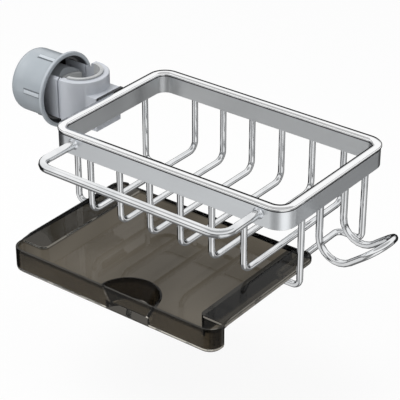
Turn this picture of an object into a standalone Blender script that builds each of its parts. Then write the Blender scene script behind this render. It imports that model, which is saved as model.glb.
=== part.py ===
"""Sink organizer: a rim basket of wire, a pull-out drip tray under it and a clamp that holds them up.

The clamp's bore has its axis on the world's Z through the origin, z = 0 is the rim's top face, X runs
along the rim away from the clamp and Y runs from the front, where the tray pulls out, to the back.
"""

import math

import bmesh
import bpy
import numpy as np
from mathutils import Matrix, Vector

# Fit between pieces that touch, how far a cutter runs past what it cuts, and what counts as one point
GAP = 0.0003
OVERRUN = 0.0120
WELD = 0.00001

# The thickest round upright that the clamp takes, which is not part of the object
PIPE_DIAMETER = 0.0277

# Rim: an extruded band bent to a rounded rectangle and closed behind, with a lip along its top
RIM_LENGTH = 0.200
RIM_DEPTH = 0.1256
RIM_HEIGHT = 0.0163
RIM_PROFILE = 0.0070
RIM_CORNER = 0.0140
RIM_LIP = 0.0006
RIM_LIP_HEIGHT = 0.0021
RIM_EDGE = 0.0004
RIM_FRONT_OFFSET = 0.0675
RIM_LEFT_OFFSET = 0.0289

# Wires of the basket
WIRE_DIAMETER = 0.0046
WIRE_SOCKET = 0.0030
CROSS_COUNT = 6
CROSS_PITCH = 0.0263
CROSS_DROP = 0.0577
CROSS_BEND = 0.0075

# Rails, each a low wire under one end of the basket
RAIL_DROP = 0.0680
RAIL_LEGS_APART = 0.0765
RAIL_BEND = 0.0052

# Towel bar in front
BAR_DIAMETER = 0.0064
BAR_END_INSET = 0.0215
BAR_REACH = 0.0372
BAR_DROP = 0.0075
BAR_BEND = 0.0110

# Side hook, one wire bent to a loop that hangs from the right-hand end and rises outwards
HOOK_DIAMETER = 0.0050
HOOK_MIDDLE = 0.0610
HOOK_LEGS_APART = 0.0297
HOOK_CORNER_DROP = 0.0703
HOOK_BEND = 0.0154
HOOK_SLOPE_LENGTH = 0.0581
HOOK_SLOPE = math.radians(37.8)
HOOK_END_SHARE = 0.985

# Drip tray, which hangs by its wings from the rails
TRAY_END_INSET = 0.01285
TRAY_DEPTH = 0.1170
TRAY_HEIGHT = 0.0180
TRAY_FRONT_PART = 0.0140
TRAY_WALL = 0.0018
TRAY_FLOOR = 0.0018
TRAY_CORNER = 0.0095
TRAY_INNER_CORNER = 0.0030
TRAY_BOTTOM_ROUND = 0.0026
TRAY_HOLLOW_ROUND = 0.0009
TRAY_SIDE_SHIFT = 0.0019
TRAY_PULLED_OUT = 0.0605
WING_WIDTH = 0.0190
WING_PAST_RAIL = 0.01015
WING_THICKNESS = 0.0024
WING_RIM_HEIGHT = 0.0016
WING_RIM_WIDTH = 0.0019
WING_RIM_INSET = 0.0003
WING_RIM_SLOPE = 0.0070
THUMB_RADIUS = 0.0230
THUMB_BOTTOM_RADIUS = 0.0165
THUMB_DEPTH = 0.0110
THUMB_SIDE_SHIFT = 0.0164
THUMB_WALL = 0.0015

# Clamp body, with a neck for the knob and a block towards the rim
CLAMP_RADIUS = 0.0209
CLAMP_TOP = 0.0090
CLAMP_BOTTOM = 0.0280
CLAMP_LEFT_CUT = 0.0036
CLAMP_CORNER = 0.0016
CLAMP_EDGE = 0.0007
SLOT_EASE = 0.0004
NECK_RADIUS = 0.0222
NECK_FLAT = 0.0166
NECK_TOP_FLAT = 0.0186
NECK_LENGTH = 0.0244
NECK_ROOT = 0.0042
NECK_GROOVE = 0.0012
NECK_GROOVE_DEPTH = 0.0012
BLOCK_WIDTH = 0.0270
BLOCK_DROP = 0.0010
BLOCK_BOTTOM = 0.0276

# Soft sleeve in the clamp's bore
LINER_THICKNESS = 0.0016
LINER_FLANGE = 0.0010
LINER_FLANGE_HEIGHT = 0.0010
LINER_EDGE = 0.0005

# Bracket between the clamp's block and the rim
PLATE_THICKNESS = 0.0027
PLATE_EDGE = 0.0004
SCREW_SHANK = 0.0030
SCREW_HEAD = 0.0056
SCREW_HEAD_HEIGHT = 0.0020
SCREWS_APART = 0.0120
SCREW_DROP = 0.0088
SCREW_IN_RIM = 0.0036

# Knob, a cup-shaped hand nut on the clamp's neck
KNOB_AXIS_DROP = 0.0100
KNOB_MOUTH = 0.0141
KNOB_LENGTH = 0.0368
KNOB_RADIUS = 0.0242
KNOB_FLANGE_RADIUS = 0.0290
KNOB_MOUTH_RADIUS = 0.0262
KNOB_FLANGE_WIDTH = 0.0034
KNOB_ROUND = 0.0060
KNOB_END_WALL = 0.0036
KNOB_STEP = 0.0050
KNOB_THROAT_SHARE = 0.45
RIB_COUNT = 5
RIB_FIRST_ANGLE = math.radians(13.3)
RIB_FROM_MOUTH = 0.0062
RIB_LENGTH = 0.0154
RIB_WIDTH = 0.0032
RIB_HEIGHT = 0.0008

# Pressing block that the knob drives, its soft facing and the screw that holds it to the knob
PAD_RADIUS = 0.0170
PAD_STEM_RADIUS = 0.0080
PAD_BLOCK_LENGTH = 0.0170
FACING_THICKNESS = 0.0020
FACING_WIDTH = 0.0214
FACING_HEIGHT = 0.0231
PAD_SCREW_SHANK = 0.0040
PAD_SCREW_HEAD = 0.0090
PAD_SCREW_HEAD_HEIGHT = 0.0022
PAD_SCREW_DEPTH = 0.0100

# How finely the meshes are divided
ARC_STEPS = 6
CORNER_STEPS = 10
SMALL_CORNER_STEPS = 6
SCREW_STEPS = 16
ROUND_STEPS = 48
WIRE_RESOLUTION = 3

# What follows from the sizes
WIRE_RADIUS = WIRE_DIAMETER / 2
RIM_FRONT = -RIM_FRONT_OFFSET
RIM_BACK = RIM_FRONT + RIM_DEPTH
RIM_LEFT = RIM_LEFT_OFFSET
RIM_RIGHT = RIM_LEFT + RIM_LENGTH
RIM_MIDDLE_X = RIM_LEFT + RIM_LENGTH / 2
RIM_MIDDLE_Y = RIM_FRONT + RIM_DEPTH / 2
TRAY_LENGTH = RIM_LENGTH - TRAY_END_INSET * 2
RAIL_INSET = TRAY_END_INSET + WING_PAST_RAIL
BORE = PIPE_DIAMETER / 2
LINER_OUTER = BORE + LINER_THICKNESS
SLOT_HALF = BORE + SLOT_EASE
SCREW_SEAT = LINER_OUTER + GAP * 2 + SCREW_HEAD_HEIGHT
KNOB_END = -KNOB_MOUTH - KNOB_LENGTH

METAL_COLOUR = (0.80, 0.81, 0.83)
BAND_COLOUR = (0.62, 0.63, 0.65)
PLATE_COLOUR = (0.06, 0.06, 0.065)
PLASTIC_COLOUR = (0.40, 0.43, 0.47)
KNOB_COLOUR = (0.50, 0.54, 0.58)
SMOKE_COLOUR = (0.10, 0.09, 0.085)
RUBBER_COLOUR = (0.60, 0.61, 0.60)

# Turns a shape's own Z to the world's X, its X to Y and its Y to Z
ALONG_X = Matrix(((0, 0, 1, 0), (1, 0, 0, 0), (0, 1, 0, 0), (0, 0, 0, 1)))


def clear_scene():
    for obj in list(bpy.data.objects):
        bpy.data.objects.remove(obj, do_unlink=True)


def collection(name, is_hidden=False):
    made = bpy.data.collections.new(name)
    bpy.context.scene.collection.children.link(made)
    made.hide_render = is_hidden
    return made


clear_scene()
PARTS = collection("sink_organizer")
CUTTERS = collection("cutters", is_hidden=True)


def material(name, colour, metallic, roughness, alpha=1.0):
    made = bpy.data.materials.new(name)
    made.use_nodes = True
    shader = made.node_tree.nodes["Principled BSDF"]
    shader.inputs["Base Color"].default_value = (*colour, 1.0)
    shader.inputs["Metallic"].default_value = metallic
    shader.inputs["Roughness"].default_value = roughness
    shader.inputs["Alpha"].default_value = alpha
    made.diffuse_color = (*colour, alpha)
    return made


def add_object(name, data, group=PARTS):
    obj = bpy.data.objects.new(name, data)
    group.objects.link(obj)
    if group is CUTTERS:
        obj.hide_render = True
        obj.display_type = "WIRE"
    return obj


def mesh_of(name, shape):
    mesh = bpy.data.meshes.new(name)
    shape.to_mesh(mesh)
    shape.free()
    return mesh


def finish(obj, look, degrees=30):
    """Gives a piece its material and shades it smooth up to that angle."""
    obj.data.materials.append(look)
    obj.data.shade_smooth()
    obj.data.set_sharp_from_angle(angle=math.radians(degrees))


def move_origin(obj, point):
    """Puts the object's origin at a point and leaves its shape where it is."""
    obj.data.transform(Matrix.Translation(-Vector(point)))
    obj.matrix_world = Matrix.Translation(Vector(point))


def solid_from(guide, name, group, is_flat=False):
    """The mesh that Blender makes of a guide, its loose ends welded, in place of the guide."""
    bpy.context.view_layer.update()
    graph = bpy.context.evaluated_depsgraph_get()
    mesh = bpy.data.meshes.new_from_object(guide.evaluated_get(graph))
    shape = bmesh.new()
    shape.from_mesh(mesh)
    bmesh.ops.remove_doubles(shape, verts=shape.verts, dist=WELD)
    if is_flat:
        # The two faces of an outline become one face each, so that their edges can be eased.
        bmesh.ops.dissolve_limit(shape, angle_limit=math.radians(1), verts=shape.verts, edges=shape.edges)
    bmesh.ops.recalc_face_normals(shape, faces=shape.faces)
    shape.transform(guide.matrix_world)
    bpy.data.objects.remove(guide, do_unlink=True)
    return add_object(name, mesh_of(name, shape), group)


def flat_curve(name, outline):
    """A closed outline of (x, y) points as a flat curve."""
    curve = bpy.data.curves.new(name, "CURVE")
    curve.dimensions = "2D"
    curve.fill_mode = "NONE"
    spline = curve.splines.new("POLY")
    spline.points.add(len(outline) - 1)
    for slot, (x, y) in zip(spline.points, outline):
        slot.co = (x, y, 0, 1)
    spline.use_cyclic_u = True
    return add_object(name, curve, CUTTERS)


def slab(name, outline, low, high, group=CUTTERS, lie=None):
    """A flat outline made solid from low to high."""
    guide = flat_curve(name + "_outline", outline)
    guide.data.fill_mode = "BOTH"
    guide.data.extrude = (high - low) / 2
    guide.matrix_world = (lie or Matrix()) @ Matrix.Translation((0, 0, (low + high) / 2))
    return solid_from(guide, name, group, is_flat=True)


def swept_ring(name, path, section):
    """A closed section carried round a closed flat path."""
    profile = flat_curve(name + "_section", section)
    guide = flat_curve(name + "_path", path)
    guide.data.bevel_mode = "OBJECT"
    guide.data.bevel_object = profile
    ring = solid_from(guide, name, PARTS)
    bpy.data.objects.remove(profile, do_unlink=True)
    return ring


def turned(name, profile, place=None, group=PARTS, steps=ROUND_STEPS):
    """A shape turned from (radius, height) pairs up its outer side. A closed profile makes a ring."""
    shape = bmesh.new()
    # The Screw modifier wants the profile to run down its outer side.
    points = [shape.verts.new((radius, 0, height)) for radius, height in reversed(profile)]
    for upper, lower in zip(points, points[1:]):
        shape.edges.new((upper, lower))
    if profile[0][0] > 0:
        shape.edges.new((points[-1], points[0]))
    guide = add_object(name + "_profile", mesh_of(name, shape), CUTTERS)
    screw = guide.modifiers.new("turn", "SCREW")
    screw.steps = steps
    screw.render_steps = steps
    screw.use_merge_vertices = True
    screw.merge_threshold = WELD
    guide.matrix_world = place or Matrix()
    return solid_from(guide, name, group)


def box(name, low, high, group=CUTTERS):
    """A box between two corners."""
    size = Vector(high) - Vector(low)
    place = Matrix.Translation((Vector(low) + Vector(high)) / 2) @ Matrix.Diagonal((*size, 1))
    shape = bmesh.new()
    bmesh.ops.create_cube(shape, size=1, matrix=place)
    return add_object(name, mesh_of(name, shape), group)


def rod(name, start, end, radius, steps=SCREW_STEPS, group=CUTTERS):
    """A plain round bar from one point to another."""
    axis = Vector(end) - Vector(start)
    shape = bmesh.new()
    bmesh.ops.create_cone(
        shape, cap_ends=True, segments=steps, radius1=radius, radius2=radius, depth=axis.length
    )
    turn = axis.to_track_quat("Z", "Y").to_matrix().to_4x4()
    shape.transform(Matrix.Translation((Vector(start) + Vector(end)) / 2) @ turn)
    return add_object(name, mesh_of(name, shape), group)


def ease(obj, width, segments=1, height=None):
    """Rounds or slopes the sharp edges: all of them, or those that lie at one height."""
    modifier = obj.modifiers.new("eased_edges", "BEVEL")
    modifier.width = width
    modifier.segments = segments
    modifier.angle_limit = math.radians(40)
    if height is None:
        return
    modifier.limit_method = "WEIGHT"
    weights = obj.data.attributes.new("bevel_weight_edge", "FLOAT", "EDGE")
    for edge in obj.data.edges:
        ends = [obj.data.vertices[i].co.z for i in edge.vertices]
        weights.data[edge.index].value = float(all(abs(z - height) < WELD for z in ends))


def join_meshes(name, objects, group=CUTTERS):
    """One object that holds the meshes of several that don't touch."""
    shape = bmesh.new()
    for obj in objects:
        shape.from_mesh(obj.data)
        bpy.data.objects.remove(obj, do_unlink=True)
    return add_object(name, mesh_of(name, shape), group)


def combine(obj, other, operation):
    modifier = obj.modifiers.new(f"{operation.lower()} {other.name}", "BOOLEAN")
    modifier.operation = operation
    modifier.solver = "EXACT"
    modifier.object = other


def box_outline(x0, x1, y0, y1):
    return [(x0, y0), (x1, y0), (x1, y1), (x0, y1)]


def rounded(points, radii, inset=0.0, steps=CORNER_STEPS):
    """An anticlockwise outline with its corners moved in by inset and rounded, each by its own radius."""
    outline = []
    count = len(points)
    for i, corner in enumerate(points):
        here = np.array(corner)
        before = here - np.array(points[i - 1])
        after = np.array(points[(i + 1) % count]) - here
        before = before / np.linalg.norm(before)
        after = after / np.linalg.norm(after)
        left_before = np.array((-before[1], before[0]))
        left_after = np.array((-after[1], after[0]))
        side = math.copysign(1.0, before[0] * after[1] - before[1] * after[0])
        radius = max(radii[i] - inset * side, GAP)
        centre = here + (left_before + left_after) * (inset + side * radius)
        for step in range(steps + 1):
            angle = side * math.pi / 2 * step / steps
            cos, sin = math.cos(angle), math.sin(angle)
            x, y = -left_before * side
            outline.append(tuple(centre + np.array((x * cos - y * sin, x * sin + y * cos)) * radius))
    return outline


def bent_path(points, radii, steps=ARC_STEPS):
    """The points of a path with each inner corner bent to a radius."""
    path = [Vector(points[0])]
    for before, here, after, radius in zip(points, points[1:], points[2:], radii):
        here = Vector(here)
        to_before = (Vector(before) - here).normalized()
        to_after = (Vector(after) - here).normalized()
        half = to_before.angle(to_after) / 2
        middle = (to_before + to_after).normalized()
        centre = here + middle * (radius / math.sin(half))
        start = (here + to_before * (radius / math.tan(half)) - centre).normalized()
        end = (here + to_after * (radius / math.tan(half)) - centre).normalized()
        for step in range(steps + 1):
            path.append(centre + start.slerp(end, step / steps) * radius)
    path.append(Vector(points[-1]))
    return path


def wire(name, path, radius, look):
    """A round wire along a path, with closed ends."""
    curve = bpy.data.curves.new(name, "CURVE")
    curve.dimensions = "3D"
    curve.bevel_depth = radius
    curve.bevel_resolution = WIRE_RESOLUTION
    curve.use_fill_caps = True
    spline = curve.splines.new("POLY")
    spline.points.add(len(path) - 1)
    for slot, point in zip(spline.points, path):
        slot.co = (*point, 1.0)
        slot.radius = 1.0
    spline.use_smooth = True
    curve.materials.append(look)
    return add_object(name, curve)


def cross_places():
    """How far along X each cross wire lies."""
    first = RIM_MIDDLE_X - CROSS_PITCH * (CROSS_COUNT - 1) / 2
    return [first + CROSS_PITCH * i for i in range(CROSS_COUNT)]


def rail_leg_places():
    """How far along Y the legs of each rail stand."""
    return [RIM_MIDDLE_Y - RAIL_LEGS_APART / 2, RIM_MIDDLE_Y + RAIL_LEGS_APART / 2]


def hook_leg_places():
    """How far along Y the hook's legs stand."""
    middle = RIM_FRONT + HOOK_MIDDLE
    return [middle - HOOK_LEGS_APART / 2, middle + HOOK_LEGS_APART / 2]


def screw_places():
    """(y, z) of the bracket's screws."""
    return [(y, -SCREW_DROP) for y in (-SCREWS_APART / 2, SCREWS_APART / 2)]


def wire_legs():
    """Where the upright ends of the wires stand under the rim: the cross wires' and the rails'."""
    half = RIM_PROFILE / 2
    legs = []
    for x in cross_places():
        legs += [(x, RIM_FRONT + half), (x, RIM_BACK - half)]
    for x in (RIM_LEFT + half, RIM_RIGHT - half):
        legs += [(x, y) for y in rail_leg_places()]
    return legs


def socket_bars(places, radius):
    """Cutters for the blind holes in the band's underside."""
    low = -RIM_HEIGHT - OVERRUN
    high = -RIM_HEIGHT + WIRE_SOCKET
    return [rod("socket", (x, y, low), (x, y, high), radius + GAP) for x, y in places]


def band_section():
    """Half of the band's section, from its top to its foot, mirrored about the middle of its width."""
    half = RIM_PROFILE / 2
    face = half - RIM_LIP
    corners = [
        (half - RIM_EDGE * 2, 0),
        (half, -RIM_EDGE * 2),
        (half, RIM_EDGE - RIM_LIP_HEIGHT),
        (face, -RIM_LIP_HEIGHT),
        (face, RIM_EDGE - RIM_HEIGHT),
        (face - RIM_EDGE, -RIM_HEIGHT),
    ]
    return corners + [(-x, z) for x, z in reversed(corners)]


def make_rim(look):
    """The band that everything hangs from, with holes for the wires below and for the screws on the left."""
    corners = box_outline(RIM_LEFT, RIM_RIGHT, RIM_FRONT, RIM_BACK)
    middle_line = rounded(corners, [RIM_CORNER] * 4, RIM_PROFILE / 2)
    rim = swept_ring("rim_band", middle_line, band_section())
    finish(rim, look)
    holes = socket_bars(wire_legs(), WIRE_RADIUS)
    hook_x = RIM_RIGHT - RIM_PROFILE / 2
    holes += socket_bars([(hook_x, y) for y in hook_leg_places()], HOOK_DIAMETER / 2)
    end = RIM_LEFT + RIM_LIP + SCREW_IN_RIM
    for y, z in screw_places():
        holes.append(rod("screw_hole", (RIM_LEFT - OVERRUN, y, z), (end, y, z), SCREW_SHANK / 2 + GAP))
    combine(rim, join_meshes("rim_holes", holes), "DIFFERENCE")


def leg_top():
    return WIRE_SOCKET - RIM_HEIGHT - GAP


def make_cross_wires(look):
    """The basket's floor: each wire goes down from the front, back under and up again."""
    front = RIM_FRONT + RIM_PROFILE / 2
    back = RIM_BACK - RIM_PROFILE / 2
    for number, x in enumerate(cross_places(), 1):
        corners = [
            (x, front, leg_top()),
            (x, front, -CROSS_DROP),
            (x, back, -CROSS_DROP),
            (x, back, leg_top()),
        ]
        wire(f"cross_wire_{number}", bent_path(corners, [CROSS_BEND] * 2), WIRE_RADIUS, look)


def make_rails(look):
    """The two low wires that the tray's wings slide on, each cranked in under the basket."""
    half = RIM_PROFILE / 2
    front, back = rail_leg_places()
    for name, leg, run in (
        ("rail_wire_left", RIM_LEFT + half, RIM_LEFT + RAIL_INSET),
        ("rail_wire_right", RIM_RIGHT - half, RIM_RIGHT - RAIL_INSET),
    ):
        corners = [
            (leg, front, leg_top()),
            (leg, front, -RAIL_DROP),
            (run, front, -RAIL_DROP),
            (run, back, -RAIL_DROP),
            (leg, back, -RAIL_DROP),
            (leg, back, leg_top()),
        ]
        wire(name, bent_path(corners, [RAIL_BEND] * 4), WIRE_RADIUS, look)


def make_towel_bar(look):
    """A bar in front of the rim, bent back to the band at both ends."""
    end = RIM_FRONT + RIM_LIP - GAP
    out = RIM_FRONT - BAR_REACH
    left = RIM_LEFT + BAR_END_INSET
    right = RIM_RIGHT - BAR_END_INSET
    z = -BAR_DROP
    corners = [(left, end, z), (left, out, z), (right, out, z), (right, end, z)]
    wire("towel_bar", bent_path(corners, [BAR_BEND] * 2), BAR_DIAMETER / 2, look)


def make_side_hook(look):
    """One wire that goes down from the band, out and up at a slope, round the loop's end and back."""
    x = RIM_RIGHT - RIM_PROFILE / 2
    front, back = hook_leg_places()
    out = x + HOOK_SLOPE_LENGTH * math.cos(HOOK_SLOPE)
    high = -HOOK_CORNER_DROP + HOOK_SLOPE_LENGTH * math.sin(HOOK_SLOPE)
    corners = [
        (x, front, leg_top()),
        (x, front, -HOOK_CORNER_DROP),
        (out, front, high),
        (out, back, high),
        (x, back, -HOOK_CORNER_DROP),
        (x, back, leg_top()),
    ]
    end = HOOK_LEGS_APART / 2 * HOOK_END_SHARE
    path = bent_path(corners, [HOOK_BEND, end, end, HOOK_BEND], ARC_STEPS + 2)
    wire("side_hook", path, HOOK_DIAMETER / 2, look)


def tray_frame():
    """(left, right, front, back, top) of the tray at rest, where it is pulled part of the way out."""
    middle = RIM_MIDDLE_X + TRAY_SIDE_SHIFT
    front = RIM_FRONT - TRAY_PULLED_OUT
    rail_top = -RAIL_DROP + WIRE_RADIUS
    top = rail_top + GAP + WING_THICKNESS
    return middle - TRAY_LENGTH / 2, middle + TRAY_LENGTH / 2, front, front + TRAY_DEPTH, top


def tub_outline(inset):
    """The tub from above: wide in front and narrower between the rails."""
    left, right, front, back, _ = tray_frame()
    shoulder = front + TRAY_FRONT_PART
    inner_left = left + WING_WIDTH
    inner_right = right - WING_WIDTH
    corners = [
        (left, front),
        (right, front),
        (right, shoulder),
        (inner_right, shoulder),
        (inner_right, back),
        (inner_left, back),
        (inner_left, shoulder),
        (left, shoulder),
    ]
    # The shoulder's corners are tighter than the front's, so that both fit the short side between them.
    radii = [TRAY_CORNER] * 2 + [TRAY_INNER_CORNER] * 6
    return rounded(corners, radii, inset, SMALL_CORNER_STEPS)


def wing_outline(inset=0.0):
    """Both wings as one plate, which the tub's hollow then parts."""
    left, right, front, back, _ = tray_frame()
    corners = box_outline(left, right, front + TRAY_FRONT_PART / 2, back)
    radii = [TRAY_INNER_CORNER] * 2 + [TRAY_CORNER] * 2
    return rounded(corners, radii, inset, SMALL_CORNER_STEPS)


def make_wing_rims(low, high):
    """The raised rims along the wings' outer edges, sloped in front and carried round the rear corners."""
    left, right, front, back, top = tray_frame()
    rims = slab("wing_rims", wing_outline(WING_RIM_INSET), low, high)
    inner = wing_outline(WING_RIM_INSET + WING_RIM_WIDTH)
    combine(rims, slab("rims_inside", inner, low - OVERRUN, high + OVERRUN), "DIFFERENCE")
    start = front + TRAY_FRONT_PART - TRAY_WALL / 2
    past = (high - top) * 2
    side = [
        (start, low - OVERRUN),
        (back + OVERRUN, low - OVERRUN),
        (back + OVERRUN, top + past),
        (start + WING_RIM_SLOPE * 2, top + past),
        (start, top),
    ]
    ends = [
        slab("rim_end", side, x0, x1, CUTTERS, ALONG_X)
        for x0, x1 in ((left - OVERRUN, left + TRAY_CORNER), (right - TRAY_CORNER, right + OVERRUN))
    ]
    combine(rims, join_meshes("rim_ends", ends), "INTERSECT")
    return rims


def make_tray(look):
    """One moulding: a tub with rounded lower edges, wings with raised rims, and the thumb well in front."""
    left, right, front, back, top = tray_frame()
    bottom = top - TRAY_HEIGHT
    tray = slab("drip_tray", tub_outline(0.0), bottom, top, PARTS)
    finish(tray, look)
    ease(tray, TRAY_BOTTOM_ROUND, 3, bottom)
    wing_low = top - WING_THICKNESS
    combine(tray, slab("tray_wings", wing_outline(), wing_low, top), "UNION")
    combine(tray, make_wing_rims(wing_low + WING_THICKNESS / 4, top + WING_RIM_HEIGHT), "UNION")
    floor = bottom + TRAY_FLOOR
    hollow = slab("tray_hollow", tub_outline(TRAY_WALL), floor, top + OVERRUN)
    ease(hollow, TRAY_HOLLOW_ROUND, 2, floor)
    combine(tray, hollow, "DIFFERENCE")
    make_thumb_well(tray, floor, top)
    move_origin(tray, ((left + right) / 2, front, top))


def make_thumb_well(tray, floor, top):
    """The half-round well behind the front wall, which is the grip for pulling the tray out."""
    left, right, front, _, _ = tray_frame()
    x = (left + right) / 2 + THUMB_SIDE_SHIFT
    y = front + TRAY_WALL / 2
    place = Matrix.Translation((x, y, 0))
    side = THUMB_RADIUS + OVERRUN
    low = floor - OVERRUN
    high = top + OVERRUN
    well_floor = top - THUMB_DEPTH
    foot = floor - TRAY_FLOOR / 2
    outer = [
        (0, foot),
        (THUMB_BOTTOM_RADIUS, foot),
        (THUMB_BOTTOM_RADIUS, well_floor - THUMB_WALL),
        (THUMB_RADIUS, top),
        (0, top),
    ]
    lump = turned("thumb_lump", outer, place, CUTTERS)
    combine(lump, box("thumb_half", (x - side, y, low), (x + side, y + side, high)), "INTERSECT")
    combine(tray, lump, "UNION")
    inner = [
        (0, well_floor),
        (THUMB_BOTTOM_RADIUS - THUMB_WALL, well_floor),
        (THUMB_RADIUS - THUMB_WALL, top),
        (THUMB_RADIUS - THUMB_WALL, top + THUMB_WALL),
        (0, top + THUMB_WALL),
    ]
    scoop = turned("thumb_scoop", inner, place, CUTTERS)
    behind = front + TRAY_WALL
    combine(scoop, box("scoop_half", (x - side, behind, low), (x + side, y + side, high)), "INTERSECT")
    combine(tray, scoop, "DIFFERENCE")


def cut_circle(radius, cut, corner, steps=26):
    """A circle about the bore's axis, cut off on the left by a plane, with both corners there rounded."""
    # The corner's own circle touches the plane from inside and the big circle from inside.
    x = corner - cut
    y = math.sqrt((radius - corner) ** 2 - x * x)
    meet = math.atan2(y, x)
    arcs = [
        ((0, 0), radius, -meet, meet, steps),
        ((x, y), corner, meet, math.pi, SMALL_CORNER_STEPS),
        ((x, -y), corner, math.pi, 2 * math.pi - meet, SMALL_CORNER_STEPS),
    ]
    outline = []
    for (centre_x, centre_y), reach, start, end, count in arcs:
        for step in range(count + 1):
            angle = start + (end - start) * step / count
            point = (centre_x + reach * math.cos(angle), centre_y + reach * math.sin(angle))
            if not outline or math.dist(point, outline[-1]) > WELD and math.dist(point, outline[0]) > WELD:
                outline.append(point)
    return outline


def knob_place(x=0.0):
    """A point on the knob's axis."""
    return (x, 0, -KNOB_AXIS_DROP)


def on_knob_axis(x=0.0):
    """Turned shapes stand along the knob's axis, with height 0 at x."""
    return Matrix.Translation(knob_place(x)) @ ALONG_X


def make_neck():
    """The forked neck: a thick round stub, flat in front, behind, above and below, grooved at its root."""
    cut = -CLAMP_LEFT_CUT
    tip = cut - NECK_LENGTH
    root = cut - NECK_ROOT
    profile = [
        (0, tip),
        (NECK_RADIUS - CLAMP_EDGE, tip),
        (NECK_RADIUS, tip + CLAMP_EDGE),
        (NECK_RADIUS, 0),
        (0, 0),
    ]
    neck = turned("clamp_neck", profile, on_knob_axis(), CUTTERS)
    outline = box_outline(
        -NECK_FLAT, NECK_FLAT, -KNOB_AXIS_DROP - NECK_TOP_FLAT, -KNOB_AXIS_DROP + NECK_TOP_FLAT
    )
    flats = rounded(outline, [CLAMP_CORNER] * 4, 0.0, SMALL_CORNER_STEPS)
    combine(neck, slab("neck_flats", flats, tip - OVERRUN, OVERRUN, lie=ALONG_X), "INTERSECT")
    # The groove is a slice with a round core left in it.
    over = NECK_RADIUS + OVERRUN
    low = -KNOB_AXIS_DROP - over
    high = -KNOB_AXIS_DROP + over
    slice_cut = box("neck_slice", (root - NECK_GROOVE, -over, low), (root, over, high))
    core = NECK_FLAT - NECK_GROOVE_DEPTH
    kept = rod("neck_core", knob_place(root - OVERRUN), knob_place(root + OVERRUN), core, ROUND_STEPS)
    combine(slice_cut, kept, "DIFFERENCE")
    combine(neck, slice_cut, "DIFFERENCE")
    return neck


def make_clamp_body(look):
    """The fixed jaw: a tube open to the left, a forked neck for the knob and a block towards the rim."""
    low = -CLAMP_BOTTOM
    outline = cut_circle(CLAMP_RADIUS, CLAMP_LEFT_CUT, CLAMP_CORNER)
    body = slab("clamp_body", outline, low, CLAMP_TOP, PARTS)
    finish(body, look)
    ease(body, CLAMP_EDGE)
    combine(body, make_neck(), "UNION")
    half = BLOCK_WIDTH / 2
    block_end = RIM_LEFT - GAP * 2 - PLATE_THICKNESS
    block = box("clamp_block", (BORE, -half, -BLOCK_BOTTOM), (block_end, half, -BLOCK_DROP))
    ease(block, CLAMP_EDGE / 2)
    combine(body, block, "UNION")
    bottom = low - OVERRUN
    top = CLAMP_TOP + OVERRUN
    combine(body, rod("bore", (0, 0, bottom), (0, 0, top), LINER_OUTER + GAP, ROUND_STEPS), "DIFFERENCE")
    slot_end = -CLAMP_LEFT_CUT - NECK_LENGTH - OVERRUN
    combine(body, box("slot", (slot_end, -SLOT_HALF, bottom), (0, SLOT_HALF, top)), "DIFFERENCE")
    holes = []
    seats = []
    for y, z in screw_places():
        holes.append(rod("hole", (0, y, z), (RIM_LEFT, y, z), SCREW_SHANK / 2 + GAP))
        seats.append(rod("seat", (0, y, z), (SCREW_SEAT, y, z), SCREW_HEAD / 2 + GAP))
    combine(body, join_meshes("block_holes", holes), "DIFFERENCE")
    combine(body, join_meshes("block_seats", seats), "DIFFERENCE")


def make_liner(look):
    """A soft sleeve in the bore, open to the left like the jaw, with a small flange on the collar."""
    top = CLAMP_TOP + GAP
    flange = LINER_OUTER + LINER_FLANGE
    profile = [
        (BORE, -CLAMP_BOTTOM),
        (LINER_OUTER, -CLAMP_BOTTOM),
        (LINER_OUTER, top),
        (flange, top),
        (flange, top + LINER_FLANGE_HEIGHT),
        (BORE, top + LINER_FLANGE_HEIGHT),
    ]
    liner = turned("bore_liner", profile)
    finish(liner, look)
    side = flange + OVERRUN
    low = -CLAMP_BOTTOM - OVERRUN
    opening = box("liner_opening", (-side, -side, low), (LINER_EDGE, side, top + OVERRUN))
    combine(liner, opening, "DIFFERENCE")


def make_bracket_plate(look):
    """The small plate between the clamp's block and the rim's left side."""
    right = RIM_LEFT - GAP
    half = BLOCK_WIDTH / 2
    left = right - PLATE_THICKNESS
    plate = box("bracket_plate", (left, -half, -RIM_HEIGHT), (right, half, -RIM_EDGE), PARTS)
    finish(plate, look)
    ease(plate, PLATE_EDGE, 2)
    holes = [
        rod("hole", (right - OVERRUN, y, z), (right + OVERRUN, y, z), SCREW_SHANK / 2 + GAP)
        for y, z in screw_places()
    ]
    combine(plate, join_meshes("plate_holes", holes), "DIFFERENCE")


def make_bracket_screws(look):
    """Two screws from inside the bore, through the block and the plate, into the rim's side."""
    seat = SCREW_SEAT - GAP
    radius = SCREW_SHANK / 2
    head = SCREW_HEAD / 2
    tip = RIM_LEFT + RIM_LIP + SCREW_IN_RIM - GAP - seat
    profile = [
        (0, -SCREW_HEAD_HEIGHT),
        (head / 2, -SCREW_HEAD_HEIGHT),
        (head, -SCREW_HEAD_HEIGHT / 2),
        (head, 0),
        (radius, 0),
        (radius, tip - radius),
        (0, tip),
    ]
    for name, (y, z) in zip(("bracket_screw_front", "bracket_screw_back"), screw_places()):
        place = Matrix.Translation((seat, y, z)) @ ALONG_X
        finish(turned(name, profile, place, steps=SCREW_STEPS), look)


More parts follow.
